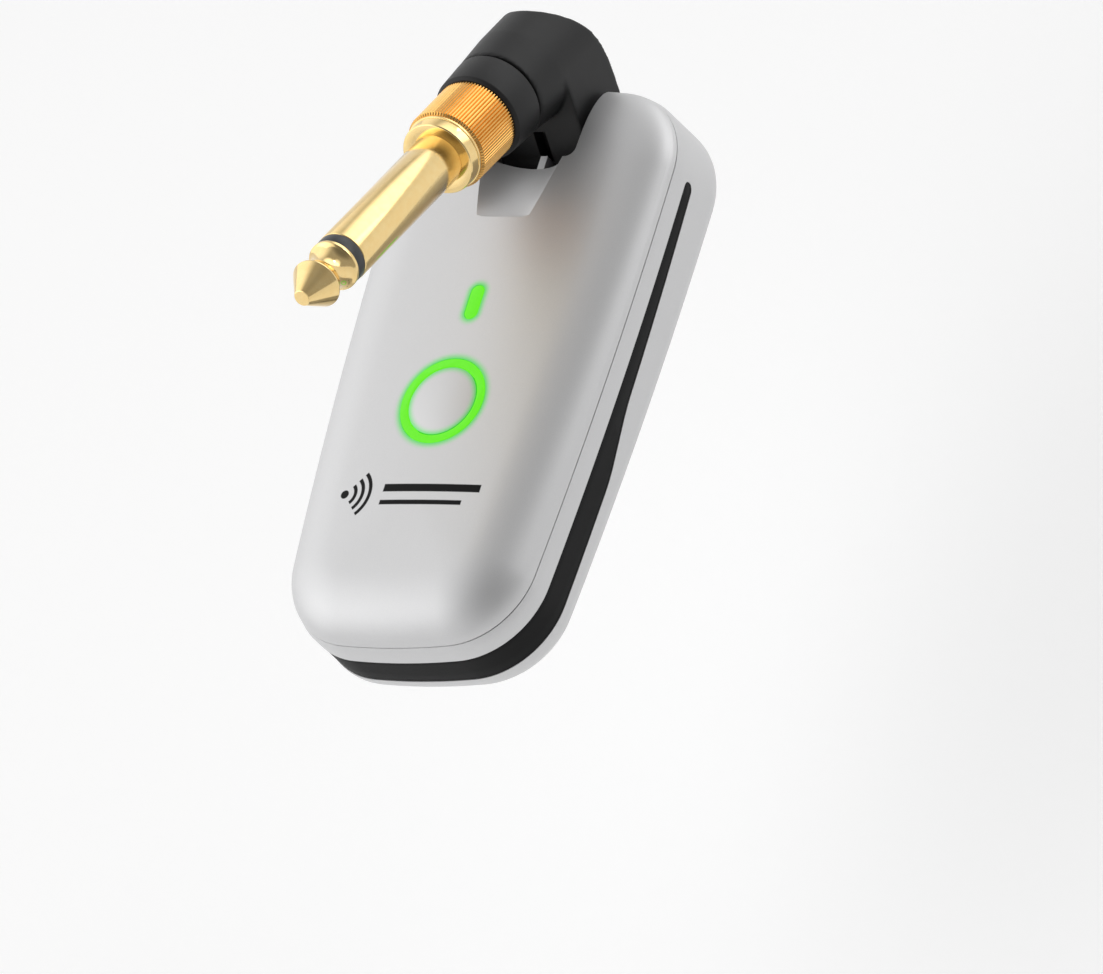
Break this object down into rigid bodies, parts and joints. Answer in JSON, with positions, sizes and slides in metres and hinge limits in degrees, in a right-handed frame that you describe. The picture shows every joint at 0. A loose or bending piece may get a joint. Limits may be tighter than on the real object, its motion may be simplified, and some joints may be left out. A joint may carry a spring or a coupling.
{
  "type": "wireless guitar transmitter",
  "caption": "Flat domed clip-on radio transmitter with a lit ring button, black side trim and a quarter-inch mono plug on a swivelling elbow hinged between two ears.",
  "frame": {"origin": "middle of the flat on the back, which the body lies on", "axes": "+Z out of the front face, +Y along the body towards the hinge end, +X to the right seen from the front"},
  "size_m": [0.0378, 0.0773, 0.0496],
  "materials": {
    "silver_paint": "satin silver metallic paint on moulded plastic",
    "black_trim": "fine-grained matte black",
    "black_elbow": "satin black nylon",
    "gold_plate": "polished gold plate",
    "green_light": "lit translucent diffuser",
    "insulator": "dark acetal",
    "clear_insulator": "natural nylon",
    "circuit_board": "green solder mask",
    "steel": "plated steel",
    "tin_plate": "tin-plated shield",
    "chip_black": "moulded epoxy",
    "ceramic": "fired ceramic",
    "led_clear": "clear resin",
    "pouch_foil": "laminated foil pouch",
    "foam": "closed-cell foam",
    "acetal": "natural acetal",
    "lead_jacket": "flexible jacket"
  },
  "bodies": {
    "case": {"audio_chips": "chip_black", "bar_light_lens": "green_light", "battery_cell": "pouch_foil", "battery_foam_pad": "foam", "board_lead": "lead_jacket", "board_screws": "steel", "charging_port_shell": "steel", "charging_port_tongue": "chip_black", "chip_antenna": "ceramic", "front_cover": "silver_paint", "hinge_bush_left": "acetal", "hinge_bush_right": "acetal", "main_board": "circuit_board", "radio_shield": "tin_plate", "rear_housing": "silver_paint", "ring_light_guide": "green_light", "side_trim": "black_trim", "status_leds": "led_clear", "tact_switch_body": "chip_black"},
    "plug_arm": {"plug_elbow": "black_elbow", "elbow_nose_ring": "black_elbow", "knurled_collar": "gold_plate", "shoulder_washer": "gold_plate", "plug_sleeve": "gold_plate", "plug_insulator_ring": "insulator", "plug_tip": "gold_plate", "tip_rod": "gold_plate", "rod_insulator_tube": "clear_insulator", "plug_nut": "steel", "plug_lead": "lead_jacket", "hinge_pin_left": "steel", "hinge_pin_right": "steel", "friction_washer_left": "steel", "friction_washer_right": "steel", "retaining_clip_left": "steel", "retaining_clip_right": "steel"},
    "button": {"power_button": "silver_paint", "tact_switch_stem": "acetal"}
  },
  "joints": [
    {"name": "plug_swivel", "type": "hinge", "parent": "case", "child": "plug_arm", "pos_m": [0, 0.031, 0.0096], "axis": [-1, 0, 0], "range_deg": [-24, 150]},
    {"name": "power_press", "type": "slide", "parent": "case", "child": "button", "axis": [0, 0, -1], "range_m": [0, 0.0004], "stiffness_N_per_m": 2000, "springref_m": -0.0001}
  ]
}
